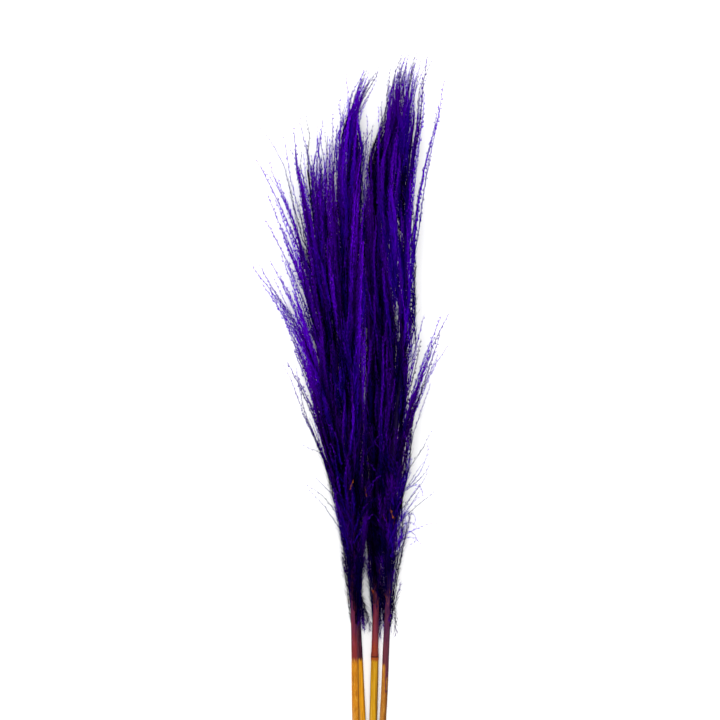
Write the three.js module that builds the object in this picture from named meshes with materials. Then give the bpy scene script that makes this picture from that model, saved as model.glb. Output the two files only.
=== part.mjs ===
// A bunch of four dyed pampas grass stems, laid flat on a surface.
// Millimetres. X runs across the bunch, Y from the cut ends to the plume tips, Z up from the surface.
//
// Each stem is one culm that runs on, thinner, as the rachis in the middle of its plume. The plume
// is made of locks: a lock is one whorl of long panicle branches, which leaves the rachis at a
// point and sweeps up beside it. Each lock that leaves further up pushes the older ones outwards,
// turned by the golden angle, so the locks never cross.
import * as THREE from 'three';

// Sizes of the whole bunch
const BUNCH_LENGTH = 750;
const BARE_LENGTH = 168;

// Sizes of one stem
const CULM_DIAMETER = 6.6;
const RACHIS_TIP_DIAMETER = 1.6;
const RACHIS_SHORTFALL = 58;
const CULM_NODE_SWELL = 0.5;
const CULM_NODE_LENGTH = 5;

// Sizes of one plume, across and through it where it is fullest, and its shares of that at the ends
const PLUME_WIDTH = 32;
const PLUME_DEPTH = 37;
const PLUME_BASE_SHARE = 0.5;
const PLUME_TIP_SHARE = 0.42;

// How the plumes lie: the height of a lower plume's middle as a share of its half depth, how far
// the tips spring up, how far the left plume leans out and how far the other tips hook over
const SETTLED_SHARE = 0.68;
const TIP_RISE = 14;
const LEFT_LEAN = 59;
const TIP_HOOK = 28;

// Sizes of one lock
const LOCKS_PER_PLUME = 13;
const LOCK_LENGTH = 245;
const LAST_LOCK_LENGTH = 128;
const LOCK_ROOT_RADIUS = 1.1;
const LOCK_FULLNESS = 0.78;
const FAN_CURVE = 3;
const CLEARANCE = 0.4;

// Where the cut ends lie, side by side
const FEET_CENTRE = 18;
const FOOT_PITCH = CULM_DIAMETER * 1.27 + CLEARANCE;

// Facets
const CULM_SIDES = 12;
const CULM_STEP = 24;
const LOCK_SIDES = 8;
const LOCK_RINGS = 8;

const GOLDEN_ANGLE = Math.PI * (3 - Math.sqrt(5));
const HALF_WIDTH = PLUME_WIDTH / 2;
const HALF_DEPTH = PLUME_DEPTH / 2;
const CULM_RADIUS = CULM_DIAMETER / 2;

const { lerp, smoothstep } = THREE.MathUtils;

// The four stems, from the left plume to the right one. footPlace counts the cut ends from the
// left, cutBack and shortfall are how far the stem stops short at its two ends, and node is the
// height of the culm's swollen node, where one shows. An upper plume lies on the one named in
// liesOn. firstTurn is where the lowest lock leaves, in turns of the golden angle, and fans lists
// the locks that stand out sideways, with the reach of their tips.
const stems = [
  {
    number: 1,
    footPlace: 1,
    cutBack: 2,
    shortfall: 62,
    line: leftLine,
    firstTurn: 0,
    fans: { 1: -34, 4: -56, 6: -14, 7: -40, 9: -34, 12: -8 },
  },
  {
    number: 2,
    footPlace: 0,
    cutBack: 0,
    shortfall: 15,
    line: middleLine,
    liesOn: 1,
    firstTurn: 2,
    fans: {},
  },
  {
    number: 3,
    footPlace: 2,
    cutBack: 3,
    shortfall: 0,
    line: innerRightLine,
    node: 121,
    firstTurn: 1,
    fans: {},
  },
  {
    number: 4,
    footPlace: 3,
    cutBack: 1,
    shortfall: 6,
    line: outerRightLine,
    liesOn: 3,
    firstTurn: -1,
    fans: { 1: 36, 9: 14 },
  },
];

// Lines that the plumes follow across the bunch, at a share t of their length. The first leans out
// to the left all the way up.
function leftLine(t) {
  return 6 - LEFT_LEAN * t ** 1.15;
}

// The second runs straight for most of its length, then curves over to the right.
function middleLine(t) {
  const hook = TIP_HOOK * Math.max(0, (t - 0.72) / 0.28) ** 2.2;
  return 2.6 - 4.1 * smoothstep(t, 0, 0.4) - 4 * smoothstep(t, 0.4, 0.65) + hook;
}

// The third stays more than a plume's width clear of the second.
function innerRightLine(t) {
  const parting = 0.74 + 0.5 * smoothstep(t, 0, 0.8) - 0.32 * smoothstep(t, 0.85, 1);
  return middleLine(t) + PLUME_WIDTH * parting;
}

// The fourth lies on the right shoulder of the third.
function outerRightLine(t) {
  return innerRightLine(t) + PLUME_WIDTH * lerp(0.4, 0.74, smoothstep(t, 0, 0.7));
}

// How full a plume is at a share t of its length.
function fullness(t) {
  const opening = lerp(PLUME_BASE_SHARE, 1, smoothstep(t, 0, 0.42));
  return opening * lerp(1, PLUME_TIP_SHARE, smoothstep(t, 0.62, 1));
}

function tipOf(stem) {
  return BUNCH_LENGTH - stem.shortfall;
}

// Centre and half sizes of a plume's cross-section at a distance y from the cut ends. A lower
// plume sinks onto the surface, and an upper one rests in the angle beside the lower one.
function plumeSection(stem, y) {
  const t = Math.max(0, (y - BARE_LENGTH) / (tipOf(stem) - BARE_LENGTH));
  const full = fullness(t);
  const x = stem.line(t);
  let z = SETTLED_SHARE * HALF_DEPTH * full + TIP_RISE * t ** 3;
  if (stem.liesOn) {
    const under = plumeSection(stems[stem.liesOn - 1], y);
    const reach = full + under.full;
    const aside = (x - under.x) / (HALF_WIDTH * reach);
    z = under.z + (HALF_DEPTH * reach) / (1 + aside ** 4);
  }
  return { x, z, full, halfWidth: HALF_WIDTH * full, halfDepth: HALF_DEPTH * full };
}

function culmRadius(stem, y) {
  const thinning = smoothstep(y, BARE_LENGTH * 0.6, tipOf(stem));
  const plain = lerp(CULM_RADIUS, RACHIS_TIP_DIAMETER / 2, thinning);
  const fromNode = stem.node ? Math.abs(y - stem.node) : Infinity;
  return plain + CULM_NODE_SWELL * Math.max(0, 1 - fromNode / CULM_NODE_LENGTH);
}

// Middle of the culm at a distance y from the cut ends. Below the plume it runs down to its foot
// on the surface in one even curve.
function culmCentre(stem, y) {
  const base = plumeSection(stem, Math.max(y, BARE_LENGTH));
  if (y >= BARE_LENGTH) {
    return { x: base.x, z: base.z };
  }
  const ahead = plumeSection(stem, BARE_LENGTH + 1);
  const back = BARE_LENGTH - y;
  const footX = FEET_CENTRE + (stem.footPlace - 1.5) * FOOT_PITCH;
  const alongCurve = (from, next, foot) => {
    const slope = next - from;
    const bend = (foot - from + slope * BARE_LENGTH) / BARE_LENGTH ** 2;
    return from - slope * back + bend * back * back;
  };
  const z = alongCurve(base.z, ahead.z, CULM_RADIUS);
  return { x: alongCurve(base.x, ahead.x, footX), z: Math.max(z, culmRadius(stem, y)) };
}

// A turned body along Y whose vertices are then moved by place(vertex).
function bentLathe(profile, sides, place) {
  const geometry = new THREE.LatheGeometry(profile, sides);
  const position = geometry.attributes.position;
  const vertex = new THREE.Vector3();
  for (let i = 0; i < position.count; i += 1) {
    vertex.fromBufferAttribute(position, i);
    place(vertex);
    position.setXYZ(i, vertex.x, vertex.y, vertex.z);
  }
  geometry.computeVertexNormals();
  return geometry;
}

function culmGeometry(stem) {
  const top = tipOf(stem) - RACHIS_SHORTFALL;
  const heights = [top];
  for (let y = stem.cutBack; y < top - CULM_STEP / 2; y += CULM_STEP) {
    heights.push(y);
  }
  if (stem.node) {
    heights.push(stem.node - CULM_NODE_LENGTH, stem.node, stem.node + CULM_NODE_LENGTH);
  }
  heights.sort((a, b) => a - b);
  const profile = heights.map((y) => new THREE.Vector2(culmRadius(stem, y), y));
  profile.unshift(new THREE.Vector2(0, stem.cutBack));
  profile.push(new THREE.Vector2(0, top));
  return bentLathe(profile, CULM_SIDES, (vertex) => {
    const centre = culmCentre(stem, vertex.y);
    vertex.x += centre.x;
    vertex.z += centre.z;
  });
}

// A lock is full for most of its length and runs out to a fine tip.
function lockProfile(f) {
  return lerp(0.35, 1, smoothstep(f, 0, 0.35)) * (1 - f ** 4) ** 0.8;
}

// One lock, made straight along Y at unit size and then carried to its place in the plume.
function lockGeometry(stem, index) {
  const pitch = (tipOf(stem) - BARE_LENGTH - LAST_LOCK_LENGTH) / (LOCKS_PER_PLUME - 1);
  const spacing = 1 / (Math.sqrt(LOCK_LENGTH / pitch) + LOCK_FULLNESS);
  const root = BARE_LENGTH + index * pitch;
  const length = Math.min(LOCK_LENGTH, tipOf(stem) - root);
  const angle = (index + stem.firstTurn) * GOLDEN_ANGLE;
  const fan = stem.fans[index] || 0;
  const profile = [new THREE.Vector2(0, 0)];
  for (let ring = 0; ring < LOCK_RINGS; ring += 1) {
    profile.push(new THREE.Vector2(1, ring / LOCK_RINGS));
  }
  profile.push(new THREE.Vector2(0, 1));
  return bentLathe(profile, LOCK_SIDES, (vertex) => {
    const f = vertex.y;
    const y = root + f * length;
    const section = plumeSection(stem, y);
    const age = (y - root) / pitch;
    const rootRing = culmRadius(stem, y) + LOCK_ROOT_RADIUS + CLEARANCE;
    const nearest = rootRing / Math.min(section.halfWidth, section.halfDepth);
    const out = Math.sqrt(nearest ** 2 + spacing ** 2 * age);
    const full = lockProfile(f) * LOCK_FULLNESS * spacing;
    const radius = Math.min(full, LOCK_ROOT_RADIUS / section.halfDepth + age * spacing);
    const across = out * Math.cos(angle) + vertex.x * radius;
    const above = out * Math.sin(angle) + vertex.z * radius;
    vertex.x = section.x + section.halfWidth * across + fan * f ** FAN_CURVE;
    vertex.y = y;
    vertex.z = Math.max(0, section.z + section.halfDepth * above);
  });
}

function dryMaterial(color) {
  return new THREE.MeshStandardMaterial({ color, roughness: 0.85, metalness: 0 });
}

const straw = 0xc08a1c;
const dyedViolet = 0x2c0a78;

const bunch = new THREE.Group();
for (const stem of stems) {
  const culm = new THREE.Mesh(culmGeometry(stem), dryMaterial(straw));
  culm.name = `culm_${stem.number}`;
  bunch.add(culm);
  for (let index = 0; index < LOCKS_PER_PLUME; index += 1) {
    const lock = new THREE.Mesh(lockGeometry(stem, index), dryMaterial(dyedViolet));
    lock.name = `plume_${stem.number}_lock_${String(index + 1).padStart(2, '0')}`;
    bunch.add(lock);
  }
}

// The origin is under the middle of the bunch, on the surface that it lies on.
const extent = new THREE.Box3().setFromObject(bunch);
const middle = extent.getCenter(new THREE.Vector3());
bunch.position.set(-middle.x, -middle.y, -extent.min.z);

export default bunch;
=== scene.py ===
import math
import random

import bmesh
import bpy
import numpy as np
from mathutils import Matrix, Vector


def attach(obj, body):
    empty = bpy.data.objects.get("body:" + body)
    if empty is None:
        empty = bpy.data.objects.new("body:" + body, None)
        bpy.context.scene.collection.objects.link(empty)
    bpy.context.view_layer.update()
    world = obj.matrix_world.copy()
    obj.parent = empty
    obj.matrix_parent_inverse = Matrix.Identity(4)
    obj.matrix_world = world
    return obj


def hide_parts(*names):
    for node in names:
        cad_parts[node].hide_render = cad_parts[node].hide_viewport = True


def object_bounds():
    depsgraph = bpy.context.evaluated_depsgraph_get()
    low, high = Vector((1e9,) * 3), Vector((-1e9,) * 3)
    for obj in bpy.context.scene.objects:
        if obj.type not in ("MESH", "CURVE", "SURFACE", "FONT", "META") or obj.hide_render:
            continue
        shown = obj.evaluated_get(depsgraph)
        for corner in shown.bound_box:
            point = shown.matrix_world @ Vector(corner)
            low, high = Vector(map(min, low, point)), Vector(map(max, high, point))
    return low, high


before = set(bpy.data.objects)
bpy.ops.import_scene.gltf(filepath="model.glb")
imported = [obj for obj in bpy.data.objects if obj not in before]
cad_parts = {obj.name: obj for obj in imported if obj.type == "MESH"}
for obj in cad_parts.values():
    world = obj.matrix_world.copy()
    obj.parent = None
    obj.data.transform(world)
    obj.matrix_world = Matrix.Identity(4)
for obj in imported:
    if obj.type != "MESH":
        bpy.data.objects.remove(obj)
cad_lowest, cad_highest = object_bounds()

# ---------------------------------------------------------------------------------------------
# The culms: four cut stalks of pampas grass, round, solid and finely ribbed along their length.
# Each runs on, thinner, as the rachis in the middle of its plume. The head was dipped in violet
# dye as far as an uneven line, so that only the lowest hand's width keeps its straw colour.

STEMS = (1, 2, 3, 4)
CUT_END = cad_lowest.y

CULM_SIDES = 36
CULM_STEP = 0.004
RIB_DEPTH = 0.035
RIB_TURN = 2.4

# Heights above the cut end: about where the dye stops, where the plumes begin, and where the
# third culm's node shows, which is a little lower than the frame's.
DYE_HEIGHT = 0.12
PLUME_BASE = 0.168
NODE_STEM = 3
NODE_HEIGHT = 0.118
NODE_SINKS = 0.003

# Per stem: how much stouter than the frame's the real culm is at its foot, and how far to the
# side its foot and the culm at its dye line lie. Both fade out where the plume begins.
CULM_FIT = {
    1: (1.02, 0.0010, 0.0007),
    2: (1.16, 0.0014, 0.0014),
    3: (1.24, -0.0010, -0.0009),
    4: (1.06, -0.0018, -0.0020),
}

# Per stem: where the dye stops above the cut end, how softly, and how far it has run down the
# right side; then its straw colour, and its dyed colour just above the line and further up.
CULM_DYE = {
    1: (0.1155, 0.0016, 0.004, (204, 138, 8), (58, 14, 26), (36, 8, 30)),
    2: (0.1165, 0.0042, 0.000, (164, 100, 6), (104, 30, 26), (70, 16, 52)),
    3: (0.1138, 0.0010, 0.000, (178, 130, 6), (128, 48, 18), (98, 28, 52)),
    4: (0.1115, 0.0014, 0.030, (140, 84, 24), (84, 36, 42), (60, 16, 54)),
}

# What all four share: the colours of single fibres, streaks, stains and faces, the painted shade
# on the right side and the paler blotches on the left of the foot, and how far the culm takes the
# plume's own colour inside it, the second one less because it shows.
PALE_FIBRE = (206, 164, 66)
DARK_STREAK = (112, 60, 6)
SHADED_STRAW = (74, 36, 6)
PALE_FOOT_STRAW = (196, 168, 110)
CUT_FACE = (206, 178, 116)
DYED_STREAK = (30, 5, 28)
DYED_FIBRE = (140, 62, 84)
SHADED_DYE = (22, 3, 38)
DYE_IN_PLUME = (14, 2, 52)
BELOW_NODE = (150, 74, 12)
NODE_RING = (40, 6, 12)
HIDDEN_IN_PLUME = {1: 0.95, 2: 0.45, 3: 0.95, 4: 0.95}


class Wire:
    """One output of a node. Arithmetic on it adds Math nodes to its tree."""

    def __init__(self, bench, socket):
        self.bench, self.socket = bench, socket

    def of(self, name):
        return Wire(self.bench, self.socket.node.outputs[name])

    def maths(self, operation, *others):
        return self.bench.maths(operation, self, *others)

    def vector(self, operation, *others):
        terms = dict(enumerate((self, *others)))
        return self.bench.put("ShaderNodeVectorMath", {"operation": operation}, terms)

    def __add__(self, other):
        return self.bench.maths("ADD", self, other)

    def __radd__(self, other):
        return self.bench.maths("ADD", other, self)

    def __sub__(self, other):
        return self.bench.maths("SUBTRACT", self, other)

    def __rsub__(self, other):
        return self.bench.maths("SUBTRACT", other, self)

    def __mul__(self, other):
        return self.bench.maths("MULTIPLY", self, other)

    def __rmul__(self, other):
        return self.bench.maths("MULTIPLY", other, self)

    def __truediv__(self, other):
        return self.bench.maths("DIVIDE", self, other)

    def over(self, low, high):
        """0 below low, 1 above high, and a smooth step between."""
        settings = {"interpolation_type": "SMOOTHSTEP"}
        return self.bench.put("ShaderNodeMapRange", settings, {0: self, 1: low, 2: high})


class Bench:
    """A node tree being wired."""

    def __init__(self, tree):
        self.tree = tree

    def put(self, kind, settings=None, sockets=None, out=0):
        """A new node: its type, its settings, then a value, a wire or a list of wires per input."""
        node = self.tree.nodes.new(kind)
        for name, value in (settings or {}).items():
            if name == "stops":
                stops = node.color_ramp.elements
                while len(stops) < len(value):
                    stops.new(0.5)
                for stop, (place, colour) in zip(stops, value):
                    stop.position, stop.color = place, colour
            else:
                setattr(node, name, value)
        for name, value in (sockets or {}).items():
            if isinstance(value, Wire):
                self.tree.links.new(value.socket, node.inputs[name])
            elif isinstance(value, list):
                for each in reversed(value):
                    self.tree.links.new(each.socket, node.inputs[name])
            else:
                node.inputs[name].default_value = value
        return Wire(self, node.outputs[out]) if node.outputs else None

    def maths(self, operation, *terms):
        return self.put("ShaderNodeMath", {"operation": operation}, dict(enumerate(terms)))

    def blend(self, share, first, second):
        return self.put("ShaderNodeMix", {"data_type": "RGBA"}, {0: share, 6: first, 7: second}, 2)


def colour(*channels):
    """A colour as painted, with red, green and blue from 0 to 255, made linear."""
    return *(((c / 255 + 0.055) / 1.055) ** 2.4 if c > 10 else c / 3295 for c in channels), 1


def rings(name):
    """Rings of a CAD node in order along Y: place, centre X and Z, half width and half depth."""
    points = np.array([vertex.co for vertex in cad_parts[name].data.vertices])
    places = np.round(points[:, 1], 5)
    found = []
    for place in np.unique(places):
        ring = points[places == place]
        low, high = ring.min(0), ring.max(0)
        middle, half = (low + high) / 2, (high - low) / 2
        found.append((place, middle[0], middle[2], half[0], half[2]))
    return np.array(found)


def growth_tree(name, inlets):
    """An empty Geometry Nodes tree with those named inputs, and its wires by name."""
    tree = bpy.data.node_groups.new(name, "GeometryNodeTree")
    tree.interface.new_socket("Geometry", in_out="INPUT", socket_type="NodeSocketGeometry")
    tree.interface.new_socket("Geometry", in_out="OUTPUT", socket_type="NodeSocketGeometry")
    for inlet, kind in inlets.items():
        tree.interface.new_socket(inlet, in_out="INPUT", socket_type="NodeSocket" + kind)
    bench = Bench(tree)
    start = bench.put("NodeGroupInput")
    return bench, {inlet: start.of(inlet) for inlet in ["Geometry", *inlets]}


def grow(name, bench, lines, values):
    """Runs a tree on polylines and keeps its result as a plain mesh. A line is a list of points,
    each a dictionary of its position and its other measures."""
    points = [point for line in lines for point in line]
    edges, first = [], 0
    for line in lines:
        edges += [(first + i, first + i + 1) for i in range(len(line) - 1)]
        first += len(line)
    mesh = bpy.data.meshes.new(name)
    mesh.from_pydata([point["at"] for point in points], edges, [])
    for measure in points[0]:
        if measure != "at":
            layer = mesh.attributes.new(measure, "FLOAT", "POINT")
            layer.data.foreach_set("value", [point[measure] for point in points])
    piece = bpy.data.objects.new(name, mesh)
    bpy.context.scene.collection.objects.link(piece)
    modifier = piece.modifiers.new("growth", "NODES")
    modifier.node_group = bench.tree
    for item in bench.tree.interface.items_tree:
        if item.in_out == "INPUT" and item.name in values:
            modifier[item.identifier] = values[item.name]
    graph = bpy.context.evaluated_depsgraph_get()
    grown = bpy.data.meshes.new_from_object(
        piece.evaluated_get(graph), preserve_all_data_layers=True, depsgraph=graph
    )
    piece.modifiers.clear()
    piece.data = grown
    grown.name = name
    return piece


def culm_tree():
    """Ribbed tubes along the culms' centre lines, closed at both ends."""
    bench, inlet = growth_tree(
        "culm",
        {"Step": "Float", "Sides": "Int", "Rib Depth": "Float", "Material": "Material"},
    )
    line = bench.put("GeometryNodeMeshToCurve", None, {"Mesh": inlet["Geometry"]})
    line = bench.put(
        "GeometryNodeResampleCurve", {"mode": "LENGTH"}, {"Curve": line, "Length": inlet["Step"]}
    )
    radius = bench.put(
        "GeometryNodeInputNamedAttribute", {"data_type": "FLOAT"}, {"Name": "thickness"}
    )
    outline = bench.put(
        "GeometryNodeCurvePrimitiveCircle",
        {"mode": "RADIUS"},
        {"Resolution": inlet["Sides"], "Radius": 1.0},
    )
    turn = bench.put("GeometryNodeInputIndex") * RIB_TURN
    rib = 1 - inlet["Rib Depth"] * turn.maths("SINE")
    place = bench.put("GeometryNodeInputPosition")
    outline = bench.put(
        "GeometryNodeSetPosition",
        None,
        {"Geometry": outline, "Position": place.vector("MULTIPLY", rib)},
    )
    tube = bench.put(
        "GeometryNodeCurveToMesh",
        None,
        {"Curve": line, "Profile Curve": outline, "Scale": radius, "Fill Caps": True},
    )
    tube = bench.put("GeometryNodeSetShadeSmooth", None, {"Geometry": tube})
    tube = bench.put("GeometryNodeRealizeInstances", None, {"Geometry": tube})
    tube = bench.put(
        "GeometryNodeSetMaterial", None, {"Geometry": tube, "Material": inlet["Material"]}
    )
    bench.put("NodeGroupOutput", None, {"Geometry": tube})
    return bench


def culm_material(stem, stations):
    """Straw below the dye line, and violet dye soaked into straw above it."""
    dye_line, softness, run, straw, stained, dyed_through = CULM_DYE[stem]
    material = bpy.data.materials.new(f"culm_{stem}")
    material.use_nodes = True
    bench = Bench(material.node_tree)
    skin = bench.tree.nodes["Principled BSDF"]
    place = bench.put("ShaderNodeTexCoord", out="Object")
    axes = bench.put("ShaderNodeSeparateXYZ", None, {0: place})
    along = axes.of("Y") - CUT_END

    # how far right of the culm's middle, as a share of its radius
    foot = stations[0]
    higher_up = stations[np.searchsorted(stations[:, 0], CUT_END + DYE_HEIGHT)]
    slope = (higher_up[1] - foot[1]) / (higher_up[0] - foot[0])
    middle = axes.of("Y") * slope + (foot[1] - foot[0] * slope)
    rightward = (axes.of("X") - middle) / foot[3]

    def grain(shrink, scale):
        """Noise drawn out along the culm."""
        drawn = bench.put("ShaderNodeMapping", None, {"Vector": place, "Scale": (1, shrink, 1)})
        return bench.put("ShaderNodeTexNoise", None, {"Vector": drawn, "Scale": scale})

    fibre = grain(0.03, 2400.0)
    streak = grain(0.02, 800.0)
    blotch = grain(0.25, 210.0)

    # the dye line, frayed by the fibres, and how far the dye has soaked in above it
    tide = dye_line + (fibre - 0.5) * 0.006 + (streak - 0.5) * 0.008
    tide = tide - rightward.over(-0.1, 0.5) * blotch.over(0.4, 0.6) * run
    soaked = (along - tide).over(-softness, softness)
    higher = (along - dye_line).over(0.002, 0.04) * 0.75 + (blotch - 0.5) * 1.5

    # straw: fibres, dark streaks, painted shade on the right side, away from the light, and paler
    # blotches on the left of the foot
    pale = tuple(0.5 * c + 0.5 * s for c, s in zip(colour(*straw), colour(*PALE_FIBRE)))
    dry = bench.blend(fibre.over(0.5, 0.72), colour(*straw), pale)
    dry = bench.blend(streak.over(0.5, 0.68) * 0.6, dry, colour(*DARK_STREAK))
    dry = bench.blend(rightward.over(0.35, 0.95) * 0.75, dry, colour(*SHADED_STRAW))
    # paler blotches on the left side near the foot
    paler_left_foot = (1 - along.over(0.012, 0.075)) * (1 - rightward.over(-0.7, 0.0)) * blotch.over(0.2, 0.5)
    dry = bench.blend(paler_left_foot * 0.85, dry, colour(*PALE_FOOT_STRAW))

    # dyed straw, deeper further up and deepest inside the plume, with painted shade on its right
    # side
    wet = bench.blend(higher.over(0.0, 1.0), colour(*stained), colour(*dyed_through))
    wet = bench.blend(streak.over(0.48, 0.7) * 0.7, wet, colour(*DYED_STREAK))
    wet = bench.blend(fibre.over(0.52, 0.7) * 0.35, wet, colour(*DYED_FIBRE))
    # painted shade: the right side of the dyed part, away from the light, is darker
    wet = bench.blend(rightward.over(0.1, 0.9) * 0.55, wet, colour(*SHADED_DYE))
    inside = along.over(PLUME_BASE - 0.015, PLUME_BASE + 0.05) * HIDDEN_IN_PLUME[stem]
    wet = bench.blend(inside, wet, colour(*DYE_IN_PLUME))
    skin_colour = bench.blend(soaked, dry, wet)
    if stem == NODE_STEM:
        below = 1 - along.over(NODE_HEIGHT - 0.0012, NODE_HEIGHT - 0.0002)
        skin_colour = bench.blend(below * soaked * 0.7, skin_colour, colour(*BELOW_NODE))
        ring = 1 - (along - NODE_HEIGHT).maths("ABSOLUTE").over(0.0003, 0.0011)
        skin_colour = bench.blend(ring * 0.85, skin_colour, colour(*NODE_RING))
    cut = 1 - (axes.of("Y") - foot[0]).over(0.0001, 0.0004)
    skin_colour = bench.blend(cut, skin_colour, colour(*CUT_FACE))
    bench.tree.links.new(skin_colour.socket, skin.inputs["Base Color"])
    bump = bench.put(
        "ShaderNodeBump", None, {"Strength": 0.4, "Distance": 0.0003, "Height": streak}
    )
    bench.tree.links.new(bump.socket, skin.inputs["Normal"])
    skin.inputs["Roughness"].default_value = 0.5
    skin.inputs["Specular IOR Level"].default_value = 0.07
    return material


def smooth(value, low=0.0, high=1.0):
    """0 at low, 1 at high, and a smooth step between; low may be the higher of the two."""
    share = min(1.0, max(0.0, (value - low) / (high - low)))
    return share * share * (3 - 2 * share)


culm_growth = culm_tree()
rachis = {}
for stem in STEMS:
    stations = rings(f"culm_{stem}")
    stouter, foot_aside, line_aside = CULM_FIT[stem]
    for station in stations:
        along = station[0] - CUT_END
        grown = 1 + (stouter - 1) * (1 - smooth(along, 0.09, PLUME_BASE))
        aside = foot_aside + (line_aside - foot_aside) * min(1.0, along / DYE_HEIGHT)
        if stem == NODE_STEM and abs(along - NODE_HEIGHT) < 0.01:
            station[0] -= NODE_SINKS
        station[1] += aside * (1 - smooth(along, DYE_HEIGHT, PLUME_BASE + 0.02))
        station[2] += (grown - 1) * station[3]
        station[3:] *= grown
    rachis[stem] = stations
    line = [{"at": (x, y, z), "thickness": max(a, b)} for y, x, z, a, b in stations]
    culm = grow(
        f"stem_{stem}_culm",
        culm_growth,
        [line],
        {
            "Step": CULM_STEP,
            "Sides": CULM_SIDES,
            "Rib Depth": RIB_DEPTH,
            "Material": culm_material(stem, stations),
        },
    )
    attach(culm, "root")
    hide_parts(f"culm_{stem}")

# ---------------------------------------------------------------------------------------------
# A scrap of leaf sheath: the papery, torn end of the last leaf, which still clasps the third culm
# where its plume begins. Its lip has dried orange and stands off a little.

SCRAP_LOW = 0.174
SCRAP_LONG = 0.016
SCRAP_THICKNESS = 0.00025
SCRAP_GAP = 0.0002
SCRAP_LIP_GAP = 0.0024
SCRAP_NARROWS = 0.55
SCRAP_ROWS, SCRAP_COLUMNS = 14, 9

# Where round the culm it starts and ends, in radians.
SCRAP_TURNS = (1.7, 3.5)


def scrap_material():
    """Stained brown along its fibres, with a dry orange lip."""
    material = bpy.data.materials.new("leaf sheath")
    material.use_nodes = True
    bench = Bench(material.node_tree)
    skin = bench.tree.nodes["Principled BSDF"]
    place = bench.put("ShaderNodeTexCoord", out="Object")
    along = bench.put("ShaderNodeSeparateXYZ", None, {0: place}).of("Y") - (CUT_END + SCRAP_LOW)
    stretched = bench.put("ShaderNodeMapping", None, {"Vector": place, "Scale": (1, 0.05, 1)})
    fibre = bench.put("ShaderNodeTexNoise", None, {"Vector": stretched, "Scale": 1800.0})
    skin_colour = bench.blend(fibre.over(0.45, 0.6), colour(64, 20, 26), colour(30, 6, 30))
    lip = (along + (fibre - 0.5) * 0.008).over(SCRAP_LONG * 0.66, SCRAP_LONG * 0.86)
    skin_colour = bench.blend(lip, skin_colour, colour(148, 66, 14))
    bench.tree.links.new(skin_colour.socket, skin.inputs["Base Color"])
    skin.inputs["Roughness"].default_value = 0.7
    skin.inputs["Specular IOR Level"].default_value = 0.1
    return material


def scrap_mesh(stations, chance):
    """A strip curled round the culm, thick enough to have two faces, with a ragged upper edge."""
    edges = [chance.uniform(0.72, 1.0) for _ in range(SCRAP_COLUMNS)]
    shells = []
    for thickness in (0.0, SCRAP_THICKNESS):
        for row in range(SCRAP_ROWS):
            for column in range(SCRAP_COLUMNS):
                share = row / (SCRAP_ROWS - 1) * edges[column]
                round_share = column / (SCRAP_COLUMNS - 1)
                narrowing = 1 - SCRAP_NARROWS * share**2
                width = SCRAP_TURNS[1] - SCRAP_TURNS[0]
                turn = 0.5 * sum(SCRAP_TURNS) + (round_share - 0.5) * narrowing * width
                y = CUT_END + SCRAP_LOW + SCRAP_LONG * share
                x, z, a, b = (np.interp(y, stations[:, 0], stations[:, k]) for k in (1, 2, 3, 4))
                off = SCRAP_GAP + thickness + SCRAP_LIP_GAP * smooth(share, 0.45, 1.0)
                shells.append((x + (a + off) * math.cos(turn), y, z + (b + off) * math.sin(turn)))
    count = SCRAP_ROWS * SCRAP_COLUMNS
    faces = []
    for row in range(SCRAP_ROWS - 1):
        for column in range(SCRAP_COLUMNS - 1):
            a = row * SCRAP_COLUMNS + column
            b, c, d = a + 1, a + 1 + SCRAP_COLUMNS, a + SCRAP_COLUMNS
            faces.append((a, b, c, d))
            faces.append((d + count, c + count, b + count, a + count))

    # the rim joins the two faces, once round all four edges
    bottom = list(range(SCRAP_COLUMNS))
    right = [row * SCRAP_COLUMNS + SCRAP_COLUMNS - 1 for row in range(1, SCRAP_ROWS)]
    top = [count - 2 - column for column in range(SCRAP_COLUMNS - 1)]
    left = [row * SCRAP_COLUMNS for row in range(SCRAP_ROWS - 2, 0, -1)]
    rim = bottom + right + top + left
    for first, second in zip(rim, rim[1:] + rim[:1]):
        faces.append((second, first, first + count, second + count))
    mesh = bpy.data.meshes.new("leaf scrap")
    mesh.from_pydata(shells, [], faces)
    shape = bmesh.new()
    shape.from_mesh(mesh)
    bmesh.ops.recalc_face_normals(shape, faces=shape.faces)
    shape.to_mesh(mesh)
    shape.free()
    return mesh


scrap = bpy.data.objects.new(
    "stem_3_leaf_scrap", scrap_mesh(rachis[NODE_STEM], random.Random(33))
)
bpy.context.scene.collection.objects.link(scrap)
scrap.data.materials.append(scrap_material())
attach(scrap, "root")

# ---------------------------------------------------------------------------------------------
# The plumes: each stem carries long, thin panicle branches that leave the rachis in whorls and
# sweep up beside it. A branch is a dyed thread set with spikelets, and every spikelet has long
# silky hairs that lie close along the branch, so a branch looks like a narrow feather.

LOCKS = 13
BRANCHES = 25
BRANCH_POINTS = 16
GOLDEN_TURN = 2.39996
FULL_TURN = 6.28

# Per stem: how far its branches keep to the middle of the plume or stand away from it, least,
# most and most often, as a share of their lock's own distance, how far its upper part fills out
# to the right, and how far the tips of its branches stray, least and most.
REACH = {1: (0.3, 1.5, 0.9), 2: (0.7, 1.7, 1.1), 3: (0.7, 1.7, 1.1), 4: (0.6, 1.4, 1.0)}
BULGE = {1: 0.0, 2: 0.009, 3: -0.010, 4: -0.006}
DRIFT = {1: (-0.018, 0.026), 2: (-0.014, 0.011), 3: (-0.015, 0.012), 4: (-0.014, 0.004)}

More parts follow.
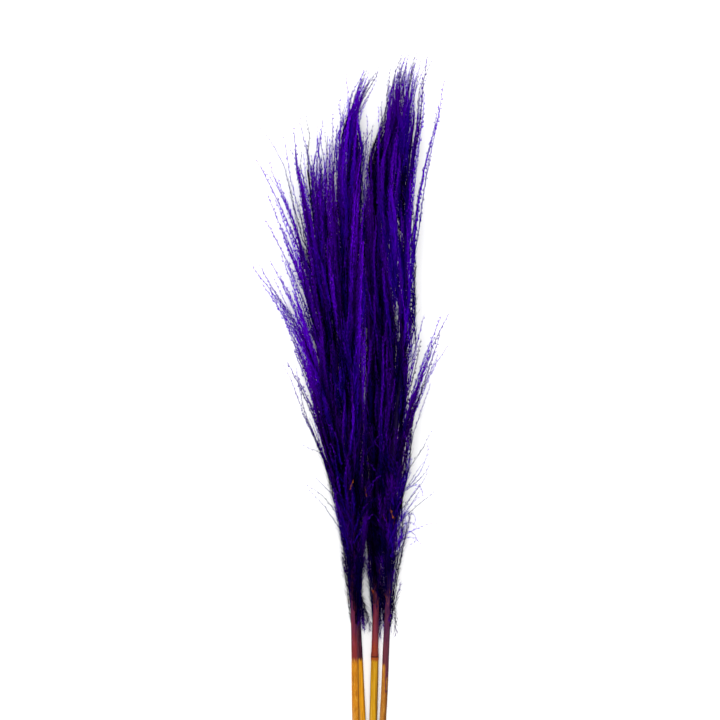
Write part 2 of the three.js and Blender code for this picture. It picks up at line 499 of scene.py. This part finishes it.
# Per stem: how far its top leans to the right, how much sooner than its longest branches the
# others may end, and how many branches fewer its locks have, the lower and the upper ones.
LEAN = {1: 0.012, 2: -0.004, 3: 0.004, 4: -0.008}
EARLY = {1: 0.80, 2: 0.42, 3: 0.50, 4: 0.50}
THINNING = {1: (6, 12), 2: (0, 0), 3: (0, 0), 4: (0, 0)}
UPPER_LOCK = 9

# How far up the first plume's inner branches end; only those on its outer side run on above that.
TRIMMED_STEM = 1
TRIMMED_TOP = 0.272

# A lock's branches lie together in a few clumps, each with its own lead branch and its own shade.
CLUMPS = 9
CLUMP_SHADES = (-0.36, -0.22, -0.06, 0.12, 0.28)
CLUMPS_SPREAD = 2.1
LOOSENESS = 0.0017
LOOSE_SHARE, MUCH_LOOSER = 0.12, 2.6

# How far a plume reaches out from its rachis where it is fullest, and the middle of the parting
# between the two middle plumes.
PLUME_REACH = 0.017
PARTING = 0.027

HAIR_SPACING = 0.0014
HAIR_LENGTH = 0.013
HAIR_RADIUS = 0.00017
HAIR_SPREAD = 0.25
HAIR_BOW = 5
SPIKELET_SPACING = 0.0046
SPIKELET_LENGTH = 0.0052
SPIKELET_RADIUS = 0.00052
SPIKELET_LEAST = 0.45
BRANCH_RADIUS = 0.00034

# The lowest and the highest that any hair may lie, and a branch's own line inside that.
FLOOR_GAP = 0.0003
HIGHEST = cad_highest.z + 0.0105
LINE_LOWEST = 0.0008
LINE_HIGHEST = HIGHEST - 0.002

# Tones run from 0 to 1, from the deepest dye to the brightest. Undyed chaff is marked by UNDYED.
DARKEST = 0.06
# BRIGHT is the tone that painted light pulls lone branches and thin parts towards.
BRIGHT = 0.78
UNDYED = -1.0


def branch_tree():
    """Threads along the branches' centre lines, set with hairs and spikelets."""
    measures = (
        "Hair Spacing",
        "Hair Length",
        "Hair Radius",
        "Hair Spread",
        "Spikelet Spacing",
        "Spikelet Length",
        "Spikelet Radius",
        "Branch Radius",
        "Lowest",
        "Highest",
    )
    inlets = {measure: "Float" for measure in measures}
    bench, inlet = growth_tree("panicle branch", {**inlets, "Seed": "Int", "Material": "Material"})

    def named(name):
        return bench.put("GeometryNodeInputNamedAttribute", {"data_type": "FLOAT"}, {"Name": name})

    def note(geometry, name, value):
        """Keeps a value on every point, for the chart below."""
        return bench.put(
            "GeometryNodeStoreNamedAttribute",
            {"data_type": "FLOAT", "domain": "POINT"},
            {"Geometry": geometry, "Name": name, "Value": value},
        )

    def chance(low, high, salt):
        return bench.put(
            "FunctionNodeRandomValue",
            {"data_type": "FLOAT"},
            {2: low, 3: high, "Seed": inlet["Seed"] + salt},
            1,
        )

    def swerve(salt):
        return bench.put(
            "FunctionNodeRandomValue",
            {"data_type": "FLOAT_VECTOR"},
            {0: (-1, -1, -1), 1: (1, 1, 1), "Seed": inlet["Seed"] + salt},
            0,
        )

    # a three-sided outline, whose sides the chart tells apart
    factor = bench.put("GeometryNodeSplineParameter")
    ring = bench.put(
        "GeometryNodeCurvePrimitiveCircle", {"mode": "RADIUS"}, {"Resolution": 3, "Radius": 1.0}
    )
    ring = note(ring, "side", bench.put("GeometryNodeInputIndex") * 0.5)

    # one hair, a closed spindle of unit length and unit radius with a slight bow
    arc = bench.put(
        "GeometryNodeCurveQuadraticBezier",
        None,
        {"Resolution": 4, "Start": (0, 0, 0), "Middle": (HAIR_BOW, 0, 0.5), "End": (1, 0, 1)},
    )
    arc = bench.put("GeometryNodeResampleCurve", {"mode": "COUNT"}, {"Curve": arc, "Count": 3})
    arc = note(arc, "hair_share", factor)
    swell = factor * (1 - factor) * 4
    hair = bench.put(
        "GeometryNodeCurveToMesh", None, {"Curve": arc, "Profile Curve": ring, "Scale": swell}
    )
    hair = bench.put("GeometryNodeMergeByDistance", None, {"Geometry": hair, "Distance": 0.001})

    line = bench.put("GeometryNodeMeshToCurve", None, {"Mesh": inlet["Geometry"]})
    line = note(line, "share", factor)

    def set_along(kind, least, salt):
        """Hairs or spikelets along the branch, each turned and sized by its own chance."""
        spacing, length, radius = (inlet[f"{kind} {it}"] for it in ("Spacing", "Length", "Radius"))
        points = bench.put(
            "GeometryNodeResampleCurve", {"mode": "LENGTH"}, {"Curve": line, "Length": spacing}
        )
        tone = named("tone")
        dyed_tone = (tone + chance(-0.13, 0.13, salt)).maths("MAXIMUM", 0.05)
        points = note(points, "tone", dyed_tone * tone.maths("GREATER_THAN", UNDYED / 2))
        tangent = bench.put("GeometryNodeInputTangent")
        aim = tangent.vector("ADD", swerve(salt + 1).vector("MULTIPLY", inlet["Hair Spread"]))
        turn = bench.put(
            "FunctionNodeAlignRotationToVector", {"axis": "Z"}, {"Factor": 1.0, "Vector": aim}
        )
        roll = bench.put(
            "FunctionNodeAxisAngleToRotation",
            None,
            {"Axis": (0, 0, 1), "Angle": chance(0, FULL_TURN, salt + 2)},
        )
        turn = bench.put(
            "FunctionNodeRotateRotation",
            {"rotation_space": "LOCAL"},
            {"Rotation": turn, "Rotate By": roll},
        )
        fullness = named("fuzz") * (1 - least) + least
        long = fullness * chance(0.45, 1.35, salt + 3) * length
        thick = radius * fullness.maths("SQRT") * chance(0.7, 1.2, salt + 4)
        size = bench.put("ShaderNodeCombineXYZ", None, {0: thick, 1: thick, 2: long})
        return bench.put(
            "GeometryNodeInstanceOnPoints",
            None,
            {"Points": points, "Instance": hair, "Rotation": turn, "Scale": size},
        )

    hairs = set_along("Hair", least=0.0, salt=10)
    spikelets = set_along("Spikelet", least=SPIKELET_LEAST, salt=20)
    thread = bench.put(
        "GeometryNodeCurveToMesh",
        None,
        {
            "Curve": line,
            "Profile Curve": ring,
            "Scale": inlet["Branch Radius"] * (1 - factor * 0.75),
            "Fill Caps": True,
        },
    )
    thread = note(thread, "hair_share", 0.0)
    plume = bench.put("GeometryNodeJoinGeometry", None, {"Geometry": [thread, hairs, spikelets]})
    plume = bench.put("GeometryNodeRealizeInstances", None, {"Geometry": plume})

    # nothing dips under the surface that the bunch lies on, or stands up out of the bunch
    place = bench.put("GeometryNodeInputPosition")
    axes = bench.put("ShaderNodeSeparateXYZ", None, {0: place})
    height = axes.of("Z").maths("MAXIMUM", inlet["Lowest"]).maths("MINIMUM", inlet["Highest"])
    kept = bench.put("ShaderNodeCombineXYZ", None, {0: axes.of("X"), 1: axes.of("Y"), 2: height})
    plume = bench.put("GeometryNodeSetPosition", None, {"Geometry": plume, "Position": kept})

    # across the chart runs the tone, a little apart on each side of a hair, and up it the place
    # along the branch and along the hair
    tone = bench.put("ShaderNodeClamp", None, {0: named("tone")})
    across = tone * 0.96 + named("side") * 0.03
    upward = named("share") * 0.85 + named("hair_share") * 0.15
    chart = bench.put("ShaderNodeCombineXYZ", None, {0: across, 1: upward})
    plume = bench.put(
        "GeometryNodeStoreNamedAttribute",
        {"data_type": "FLOAT2", "domain": "CORNER"},
        {"Geometry": plume, "Name": "OFBake", "Value": chart},
    )
    plume = bench.put("GeometryNodeSetShadeSmooth", None, {"Geometry": plume})
    plume = bench.put(
        "GeometryNodeSetMaterial", None, {"Geometry": plume, "Material": inlet["Material"]}
    )
    bench.put("NodeGroupOutput", None, {"Geometry": plume})
    return bench


def plume_material():
    """Violet dye, deeper or brighter from hair to hair, with painted light making it paler towards
    the fine tips.
    """
    material = bpy.data.materials.new("dyed plume")
    material.use_nodes = True
    bench = Bench(material.node_tree)
    skin = bench.tree.nodes["Principled BSDF"]
    chart = bench.put("ShaderNodeUVMap", {"uv_map": "OFBake"})
    axes = bench.put("ShaderNodeSeparateXYZ", None, {0: chart})
    undyed = colour(150, 80, 16)
    stops = [
        (0.0, undyed),
        (0.03, undyed),
        (0.04, colour(1, 0, 9)),
        (0.26, colour(4, 0, 38)),
        (0.52, colour(19, 1, 95)),
        (0.76, colour(48, 2, 160)),
        (1.0, colour(96, 4, 236)),
    ]
    dye = bench.put("ShaderNodeValToRGB", {"stops": stops}, {0: axes.of("X")})
    # painted light: towards the tips of branches and hairs the colour turns a paler, brighter
    # violet, standing for the light in the thin tips
    tip = axes.of("Y").over(0.5, 1.0) * axes.of("X") * 0.85
    dye = bench.blend(tip, dye, colour(124, 6, 248))
    bench.tree.links.new(dye.socket, skin.inputs["Base Color"])
    skin.inputs["Roughness"].default_value = 0.6
    skin.inputs["Specular IOR Level"].default_value = 0.0
    return material


def branch_tone(stem, tone, x, y):
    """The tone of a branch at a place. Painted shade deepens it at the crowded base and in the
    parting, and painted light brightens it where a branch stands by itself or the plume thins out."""
    root_x = np.interp(y, rachis[stem][:, 0], rachis[stem][:, 1])
    reach = PLUME_REACH * (0.45 + 0.55 * smooth(y, -0.2, 0.03))
    # painted light and shade: darker at the crowded base and in the parting between the middle
    # plumes, brighter where a branch stands by itself and where the plume thins out at the top
    lone_light = smooth(abs(x - root_x), 0.9 * reach, 1.9 * reach)
    thin_top_light = smooth(y, 0.1, 0.28)
    packed_shade = smooth(y, 0.04, -0.14) * (1 - 0.7 * lone_light)
    between = smooth(abs(x - PARTING), 0.014, 0.003) * smooth(y, 0.13, 0.2) * smooth(y, 0.31, 0.26)
    tone -= 0.42 * packed_shade + 0.26 * between
    tone += (BRIGHT - tone) * max(lone_light * (0.3 + 0.5 * smooth(y, 0.0, 0.12)), 0.3 * thin_top_light)
    return max(DARKEST, tone)


def branch_values(seed, spacing=1.0, hair=1.0, spread=1.0, spikelet=1.0, thread=1.0):
    """The inputs that grow one piece. The factors compare its hairs with those of a lock."""
    return {
        "Hair Spacing": HAIR_SPACING * spacing,
        "Hair Length": HAIR_LENGTH,
        "Hair Radius": HAIR_RADIUS * hair,
        "Hair Spread": HAIR_SPREAD * spread,
        "Spikelet Spacing": SPIKELET_SPACING,
        "Spikelet Length": SPIKELET_LENGTH,
        "Spikelet Radius": SPIKELET_RADIUS * spikelet,
        "Branch Radius": BRANCH_RADIUS * thread,
        "Lowest": FLOOR_GAP,
        "Highest": HIGHEST,
        "Seed": seed,
        "Material": dyed,
    }


def lock_clumps(stem, upper, low, high, chance):
    """One lock's clumps: where each leaves the rachis and ends, how it runs, and its shade, with
    painted shade on those underneath.
    """
    lock_tone = chance.uniform(-0.14, 0.14)
    clumps = []
    for number in range(CLUMPS):
        rank = (number + 0.5) / CLUMPS
        turn = number * GOLDEN_TURN + chance.uniform(-0.5, 0.5)
        shade = chance.choice(CLUMP_SHADES)
        leaves = chance.uniform(0.0, 0.24)
        ends = 1.0 - EARLY[stem] * chance.random() * rank**0.6
        if stem == TRIMMED_STEM and math.cos(turn) > -0.5:
            ends = min(ends, (TRIMMED_TOP - 0.05 * rank - low) / (high - low))
        clumps.append(
            {
                "out": math.sqrt(rank) * CLUMPS_SPREAD,
                "turn": turn,
                "leaves": min(leaves, 0.5 * ends),
                "ends": ends,
                "pull": chance.triangular(*REACH[stem]),
                "drift": chance.uniform(*DRIFT[stem]) * (0.5 if upper else 1.0),
                "bulge": BULGE[stem] * (1.0 if math.cos(turn) * BULGE[stem] > 0 else 0.35),
                "rise": chance.uniform(-0.004, 0.004),
                "wave": chance.uniform(0.0010, 0.0036),
                "waves": chance.uniform(6, 15),
                "phase": chance.uniform(0, FULL_TURN),
                # painted shade: clumps on the underside of the lock, towards the table, are darker
                "tone": 0.47 + lock_tone + shade - 0.26 * smooth(math.sin(turn), 0.3, -1.0),
            }
        )
    return clumps


def lock_branches(stem, lock, chance):
    """Centre lines of the branches in one lock, from the rachis to their tips."""
    stations = rings(f"plume_{stem}_lock_{lock:02d}")
    core = rachis[stem]
    low, high = stations[0][0], stations[-1][0]
    width, depth = stations[:, 3].max(), stations[:, 4].max()
    upper = lock > UPPER_LOCK
    clumps = lock_clumps(stem, upper, low, high, chance)
    lines = []
    for number in range(BRANCHES - THINNING[stem][upper]):
        clump = clumps[number % CLUMPS]
        first = number < CLUMPS
        loose = MUCH_LOOSER if chance.random() < LOOSE_SHARE else 1.0
        aside = chance.uniform(-LOOSENESS, LOOSENESS) * loose * (not first)
        above = chance.uniform(-LOOSENESS, LOOSENESS) * loose * (not first)
        leaves = clump["leaves"] + chance.uniform(0, 0.08)
        ends = clump["ends"] - (0.0 if first else chance.uniform(0.02, 0.3))
        flutter, phase = chance.uniform(0.0003, 0.0011), chance.uniform(0, FULL_TURN)
        tone = clump["tone"] + chance.uniform(-0.2, 0.2)
        line = []
        for step in range(BRANCH_POINTS):
            share = step / (BRANCH_POINTS - 1)
            at = leaves + (ends - leaves) * share
            y = low + (high - low) * at
            root_x = np.interp(y, core[:, 0], core[:, 1])
            root_z = np.interp(y, core[:, 0], core[:, 2])
            x = np.interp(y, stations[:, 0], stations[:, 1])
            z = np.interp(y, stations[:, 0], stations[:, 2])

            # the lock's own line, pulled, drifting and leaning
            x = root_x + (x - root_x) * (1 + (clump["pull"] - 1) * at)
            x += clump["drift"] * smooth(at, 0.05, 0.75) + LEAN[stem] * smooth(y, 0.10, 0.34)
            x += clump["bulge"] * smooth(y, 0.06, 0.18) * (1 - smooth(y, 0.26, 0.315))
            z += clump["rise"] * at**2

            # the clump's place in the lock, closer together at both ends
            spread = clump["out"] * (0.5 + 0.5 * smooth(at, 0, 0.3))
            spread = spread * (1 - 0.4 * smooth(at, 0.6, 1))
            x += spread * width * math.cos(clump["turn"])
            z += spread * depth * math.sin(clump["turn"])

            # the branch's place in the clump, and its sway
            gathered = 1 - 0.75 * smooth(at, 0.35, clump["ends"])
            sway = clump["wave"] * math.sin(clump["phase"] + clump["waves"] * at)
            x += aside * gathered + sway + flutter * math.sin(phase + 22 * at)
            z += above * gathered + sway * 0.5 + flutter * math.cos(phase + 19 * at)

            # every branch starts on the rachis
            rooted = smooth(share, 0, 0.2)
            x = root_x + (x - root_x) * rooted
            z = root_z + (z - root_z) * rooted
            line.append(
                {
                    "at": (x, y, min(max(z, LINE_LOWEST), LINE_HIGHEST)),
                    "tone": branch_tone(stem, tone, x, y),
                    "fuzz": (0.3 + 0.7 * smooth(share, 0.02, 0.2)) * (1 - 0.72 * share**3),
                }
            )
        lines.append(line)
    return lines


branch_growth = branch_tree()
dyed = plume_material()
for stem in STEMS:
    for lock in range(1, LOCKS + 1):
        seed = stem * 100 + lock
        piece = grow(
            f"stem_{stem}_lock_{lock:02d}",
            branch_growth,
            lock_branches(stem, lock, random.Random(seed)),
            branch_values(seed),
        )
        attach(piece, "root")
        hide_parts(f"plume_{stem}_lock_{lock:02d}")

# ---------------------------------------------------------------------------------------------
# The base of each plume: short branches from the lowest whorls, packed round the culm where the
# plume begins. Most of them point up, and the oldest have bent over and hang down beside the culm.

BASE_BRANCHES = 84
BASE_POINTS = 8
BASE_SEED = 900

# Where along the bunch they are rooted, those that point up and those that hang, and how many of
# each stem's hang. A few are undyed, and short.
BASE_ROOTS = (-0.224, -0.100)
HANGING_ROOTS = (-0.206, -0.190)
HANGING = {1: 7, 2: 2, 3: 9, 4: 3}
CULM_CLEARANCE = 0.003
ARCH = 0.012
UNDYED_SHARE = 0.03
UNDYED_LENGTH = 0.012


def base_branches(stem, chance):
    """Centre lines of the short branches at the base of a plume."""
    core = rachis[stem]
    lines = []
    for number in range(BASE_BRANCHES):
        hangs = number < HANGING[stem]
        root = chance.uniform(*(HANGING_ROOTS if hangs else BASE_ROOTS))
        long = chance.uniform(0.014, 0.034) if hangs else chance.uniform(0.035, 0.11)
        turn = chance.uniform(-0.9, 0.9) if hangs else number * GOLDEN_TURN
        out = chance.uniform(0.0025, 0.0065)
        slope = chance.uniform(0.04, 0.17)
        # painted shade: their tone is kept deep, for the shade where the branches crowd round the
        # culm
        tone = max(DARKEST, 0.10 + chance.uniform(-0.12, 0.32))
        if chance.random() < UNDYED_SHARE:
            tone, long = UNDYED, UNDYED_LENGTH
        bend = chance.uniform(-0.004, 0.004)
        line = []
        for step in range(BASE_POINTS):
            share = step / (BASE_POINTS - 1)
            if hangs:
                arch = ARCH * math.sin(min(1, share * 3) * 1.57)
                y = root + arch - (long + ARCH) * share**1.3
                aside = CULM_CLEARANCE + out * math.sin(1.57 * share) ** 0.8
            else:
                y = root + long * share
                aside = CULM_CLEARANCE + slope * long * share
            root_x = np.interp(y, core[:, 0], core[:, 1])
            root_z = np.interp(y, core[:, 0], core[:, 2])
            x = root_x + aside * math.cos(turn) + bend * share**2
            z = root_z + aside * math.sin(turn)
            line.append(
                {
                    "at": (x, y, max(z, LINE_LOWEST)),
                    "tone": tone,
                    "fuzz": (0.55 + 0.45 * share) * (1 - 0.4 * share**4),
                }
            )
        lines.append(line)
    return lines


for stem in STEMS:
    seed = BASE_SEED + stem
    tuft = grow(
        f"stem_{stem}_base_tuft",
        branch_growth,
        base_branches(stem, random.Random(seed)),
        branch_values(seed, spacing=0.55, hair=1.15, spread=2.2),
    )
    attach(tuft, "root")

# ---------------------------------------------------------------------------------------------
# The outer sprays: longer branches that have worked loose from the plumes and stand out at their
# sides, mostly on the left, each with a few others lying along it and a lone fine tip.

# Per spray: where it leaves the rachis, its tip across and along the bunch, its tip's height, how
# late it bends away from the plume, and how many branches lie in it.
SPRAYS = {
    (1, "side"): [
        (-0.060, -0.0530, 0.2250, 0.030, 1.4, 7),
        (-0.080, -0.0590, 0.1900, 0.026, 1.3, 9),
        (-0.100, -0.0640, 0.1500, 0.020, 1.3, 10),
        (-0.120, -0.0610, 0.1100, 0.018, 1.3, 10),
        (-0.130, -0.0550, 0.0750, 0.016, 1.4, 9),
        (-0.140, -0.0450, 0.0300, 0.016, 1.6, 8),
    ],
    (1, "outer"): [
        (0.020, -0.0590, 0.2940, 0.040, 2.0, 8),
        (0.040, -0.0570, 0.2770, 0.034, 2.2, 7),
        (0.080, -0.0300, 0.3010, 0.048, 2.0, 5),
        (0.030, -0.0370, 0.2670, 0.036, 1.8, 6),
        (0.010, -0.0410, 0.2570, 0.030, 1.6, 5),
        (-0.030, -0.0980, 0.2630, 0.024, 2.8, 4),
        (-0.040, -0.0850, 0.2600, 0.020, 2.4, 8),
        (-0.070, -0.0870, 0.2250, 0.016, 2.4, 8),
        (-0.060, -0.0770, 0.2200, 0.026, 2.1, 10),
        (-0.090, -0.0880, 0.2000, 0.012, 2.4, 7),
        (-0.110, -0.1010, 0.1510, 0.010, 2.8, 4),
        (-0.100, -0.0850, 0.1580, 0.016, 2.3, 8),
        (-0.120, -0.0900, 0.1320, 0.008, 2.6, 4),
        (-0.130, -0.0830, 0.1240, 0.012, 2.4, 5),
        (-0.140, -0.0670, 0.0930, 0.014, 2.0, 5),
        (-0.150, -0.0610, 0.0640, 0.008, 1.9, 5),
        (-0.160, -0.0650, 0.0520, 0.006, 2.2, 3),
        (-0.160, -0.0440, 0.0100, 0.008, 1.6, 4),
        (-0.150, -0.0460, -0.0070, 0.018, 1.9, 3),
    ],
    (2, "outer"): [
        (0.020, 0.0125, 0.2880, 0.050, 1.3, 8),
        (-0.020, 0.0115, 0.2640, 0.048, 1.2, 8),
        (-0.040, 0.0105, 0.2400, 0.046, 1.1, 8),
        (-0.050, 0.0130, 0.2150, 0.044, 1.0, 8),
        (-0.070, 0.0115, 0.1950, 0.046, 1.0, 7),
        (-0.080, 0.0120, 0.1700, 0.046, 1.0, 6),
        (-0.100, 0.0150, 0.1500, 0.040, 0.9, 6),
        (0.070, -0.0051, 0.3480, 0.058, 2.0, 5),
        (0.090, -0.0114, 0.3210, 0.060, 1.8, 6),
        (0.050, -0.0187, 0.3080, 0.052, 1.5, 7),
        (0.060, -0.0249, 0.2850, 0.050, 1.4, 6),
        (0.020, -0.0150, 0.2950, 0.050, 1.3, 8),
        (0.000, -0.0220, 0.2650, 0.046, 1.2, 8),
        (-0.020, -0.0240, 0.2350, 0.044, 1.1, 8),
    ],
    (3, "outer"): [
        (0.020, 0.0490, 0.3000, 0.042, 1.2, 6),
        (-0.030, 0.0480, 0.2450, 0.040, 1.0, 6),
        (-0.060, 0.0470, 0.1900, 0.038, 1.0, 6),
        (-0.090, 0.0460, 0.1350, 0.036, 1.0, 6),
        (0.080, 0.0397, 0.3370, 0.044, 1.6, 4),
        (0.060, 0.0303, 0.3160, 0.042, 1.6, 5),
        (0.020, 0.0210, 0.2910, 0.040, 1.4, 9),
        (0.000, 0.0170, 0.2800, 0.040, 1.2, 9),
        (-0.030, 0.0160, 0.2450, 0.034, 1.0, 8),
        (-0.050, 0.0150, 0.2150, 0.030, 0.9, 8),
        (-0.080, 0.0145, 0.1700, 0.032, 0.9, 7),
        (-0.100, 0.0160, 0.1250, 0.030, 0.9, 6),
    ],
    (4, "outer"): [
        (0.060, 0.0949, 0.3420, 0.050, 1.6, 4),
        (0.080, 0.0760, 0.3270, 0.056, 2.0, 3),
        (0.140, 0.0790, 0.3660, 0.058, 2.6, 4),
        (-0.130, 0.1010, 0.1010, 0.036, 2.4, 5),
        (-0.120, 0.0917, 0.0980, 0.044, 2.4, 5),
        (-0.110, 0.0740, 0.0980, 0.050, 2.0, 4),
    ],
}
SPRAY_SEEDS = {"side": 600, "outer": 700}

# Per stem: how much stouter than a lock's the hairs of its sprays are, and how much closer to
# their branch they lie. Then the shades of a spray, and of a branch within it.
STOUTER = {1: 1.6, 2: 1.2, 3: 1.2, 4: 1.5}
SLEEKER = {1: 0.6, 2: 0.8, 3: 0.8, 4: 0.6}
SPRAY_SHADES = (-0.28, -0.12, 0.04, 0.16)
SPRAY_BRANCH_SHADES = (-0.22, -0.06, 0.08, 0.2)


def spray_branches(stem, sprays, chance):
    """Centre lines of the branches in the loose sprays of one stem."""
    core = rachis[stem]
    lines = []
    for root, tip_x, tip_y, tip_z, bend, count in sprays:
        shade = chance.choice(SPRAY_SHADES)
        away_x = tip_x - np.interp(tip_y, core[:, 0], core[:, 1])
        away_z = tip_z - np.interp(tip_y, core[:, 0], core[:, 2])
        for number in range(count + 1):
            lone = number == 0
            ends = 1.0 if lone else chance.uniform(0.6, 0.94)
            strays = 0.0 if lone else chance.uniform(-0.0052, 0.0052)
            lifts = 0.0 if lone else chance.uniform(-0.003, 0.003)
            lower = chance.uniform(0.0, 0.05)
            wave, phase = chance.uniform(0.0004, 0.0016), chance.uniform(0, FULL_TURN)
            tone = 0.46 + shade + chance.choice(SPRAY_BRANCH_SHADES)
            line = []
            for step in range(BRANCH_POINTS):
                share = step / (BRANCH_POINTS - 1)
                at = share * ends
                y = root - lower + (tip_y - root + lower) * at
                x = np.interp(y, core[:, 0], core[:, 1]) + away_x * at**bend
                z = np.interp(y, core[:, 0], core[:, 2]) + away_z * at**bend
                sways = smooth(share, 0, 0.3)
                x += strays * at * (1.4 - at) + wave * math.sin(phase + 9 * share) * sways
                z += lifts * at * (1.4 - at) + wave * math.cos(phase + 8 * share) * sways
                line.append(
                    {
                        "at": (x, y, max(z, LINE_LOWEST)),
                        "tone": branch_tone(stem, tone, x, y),
                        "fuzz": (0.3 + 0.7 * smooth(share, 0.02, 0.2)) * (1 - 0.66 * share**4),
                    }
                )
            lines.append(line)
    return lines


for (stem, where), sprays in SPRAYS.items():
    seed = SPRAY_SEEDS[where] + stem
    stouter = STOUTER[stem]
    spray = grow(
        f"stem_{stem}_{where}_sprays",
        branch_growth,
        spray_branches(stem, sprays, random.Random(seed)),
        branch_values(
            seed, hair=stouter, spread=SLEEKER[stem], spikelet=stouter, thread=stouter
        ),
    )
    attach(spray, "root")

# ---------------------------------------------------------------------------------------------
# Stray hairs: fine, broken and curled branch ends that stick out of the lower half of the upper
# plumes, most of them on the right. They are the same dyed grass, with hardly a hair on them.

STRAYS = {2: 26, 4: 52}
STRAY_STEPS = 12
STRAY_SEED = 500
STRAY_ROOTS = (-0.150, -0.050)
STRAY_LOWEST = 0.001

# The fourth plume's stick out on its right and above it, and the second's above and on its left.
STRAY_TURNS = {2: (0.6, 2.8), 4: (-0.3, 1.9)}
SIDEWAYS = 0.5

# Per stem: flecks of undyed chaff caught on the upper side, by their place across and along.
CHAFF = {
    2: [(0.0157, -0.0830), (0.0001, -0.0750)],
    4: [(0.0428, -0.1060)],
}


def reach_of_plume(y):
    return PLUME_REACH * (0.42 + 0.58 * smooth(y, -0.2, 0.03))


def stray_lines(stem, count, chance):
    """Centre lines of loose, curling ends that start at the outside of a plume."""
    core = rachis[stem]
    lines = []
    for _ in range(count):
        y = chance.uniform(*STRAY_ROOTS)
        turn = chance.uniform(*STRAY_TURNS[stem])
        curly = turn < SIDEWAYS and chance.random() < 0.75
        reach = reach_of_plume(y)
        x = np.interp(y, core[:, 0], core[:, 1]) + reach * math.cos(turn)
        z = np.interp(y, core[:, 0], core[:, 2]) + reach * math.sin(turn) * 1.05
        heading = chance.uniform(-0.5, 0.5) - 0.5 * math.cos(turn)
        lift = chance.uniform(-0.1, 0.25)
        curl = chance.choice((-1, 1)) * chance.uniform(*((70, 170) if curly else (0, 18)))
        length = chance.uniform(*((0.02, 0.034) if curly else (0.03, 0.06)))
        step_length = length / STRAY_STEPS
        # painted light: those that stick out to the side by themselves are brighter than those over
        # the plume
        tone = chance.uniform(*((0.65, 0.95) if turn < SIDEWAYS else (0.35, 0.75)))
        line = []
        for step in range(STRAY_STEPS + 1):
            share = step / STRAY_STEPS
            at = (x, y, max(z, STRAY_LOWEST))
            line.append({"at": at, "tone": tone, "fuzz": 0.42 * (1 - 0.6 * share)})
            x += step_length * -math.sin(heading) * math.cos(lift)
            y += step_length * math.cos(heading) * math.cos(lift)
            z += step_length * math.sin(lift)
            heading += curl * step_length * (0.4 + share) + chance.uniform(-0.08, 0.08)
        lines.append(line)
    for x, y in CHAFF[stem]:
        reach = reach_of_plume(y)
        aside = (x - np.interp(y, core[:, 0], core[:, 1])) / reach
        z = np.interp(y, core[:, 0], core[:, 2]) + reach * math.sqrt(max(0.1, 1.15 - aside**2))
        lean = chance.uniform(-0.4, 0.4)
        line = []
        for step in (-1, 0, 1):
            at = (x + 0.003 * lean * step, y + 0.003 * step, z + 0.001 * abs(step))
            line.append({"at": at, "tone": UNDYED, "fuzz": 0.5})
        lines.append(line)
    return lines


for stem, count in STRAYS.items():
    seed = STRAY_SEED + stem
    strays = grow(
        f"stem_{stem}_stray_hairs",
        branch_growth,
        stray_lines(stem, count, random.Random(seed)),
        branch_values(seed, hair=1.3, spread=1.6, spikelet=1.2),
    )
    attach(strays, "root")

# ---------------------------------------------------------------------------------------------
# The table that the bunch lies on, painted nearly white, the even light of a white studio with one
# large soft box, and the camera straight above.

FLOOR_SIZE = 6.0
FLOOR_PAINT = (0.9, 0.9, 0.9, 1)
FLOOR_ROUGHNESS = 0.9
ROOM_STRENGTH = 1.32
KEY_PLACE, KEY_AIM = (-0.2, 0.3, 2.6), (0, 0.05, 0)
KEY_SIZE, KEY_WATTS = 1.8, 38
CAMERA_LENS = 100
CAMERA_SENSOR = 36
VIEW_SPAN = 0.7502
VIEW_CENTRE = (0.0095, 0.0553)
FOCUS_HEIGHT = 0.03

floor_mesh = bpy.data.meshes.new("table")
edge = FLOOR_SIZE / 2
corners = [(-edge, -edge, 0), (edge, -edge, 0), (edge, edge, 0), (-edge, edge, 0)]
floor_mesh.from_pydata(corners, [], [(0, 1, 2, 3)])
table = bpy.data.objects.new("table", floor_mesh)
bpy.context.scene.collection.objects.link(table)
table_top = bpy.data.materials.new("table top")
table_top.use_nodes = True
table_paint = table_top.node_tree.nodes["Principled BSDF"]
table_paint.inputs["Base Color"].default_value = FLOOR_PAINT
table_paint.inputs["Roughness"].default_value = FLOOR_ROUGHNESS
table_paint.inputs["Specular IOR Level"].default_value = 0.0
floor_mesh.materials.append(table_top)

room = bpy.data.worlds.new("room")
room.use_nodes = True
room_light = room.node_tree.nodes["Background"]
room_light.inputs["Color"].default_value = (1, 1, 1, 1)
room_light.inputs["Strength"].default_value = ROOM_STRENGTH
bpy.context.scene.world = room

key = bpy.data.lights.new("key light", "AREA")
key.shape, key.size, key.energy = "SQUARE", KEY_SIZE, KEY_WATTS
key_light = bpy.data.objects.new("key light", key)
key_light.location = KEY_PLACE
aim = Vector(KEY_AIM) - Vector(KEY_PLACE)
key_light.rotation_euler = aim.to_track_quat("-Z", "Y").to_euler()
bpy.context.scene.collection.objects.link(key_light)

distance = VIEW_SPAN * CAMERA_LENS / CAMERA_SENSOR
eye = bpy.data.cameras.new("camera")
eye.lens, eye.sensor_width = CAMERA_LENS, CAMERA_SENSOR
camera = bpy.data.objects.new("camera", eye)
camera.location = (*VIEW_CENTRE, FOCUS_HEIGHT + distance)
bpy.context.scene.collection.objects.link(camera)
bpy.context.scene.camera = camera
bpy.context.scene.view_settings.view_transform = "Standard"
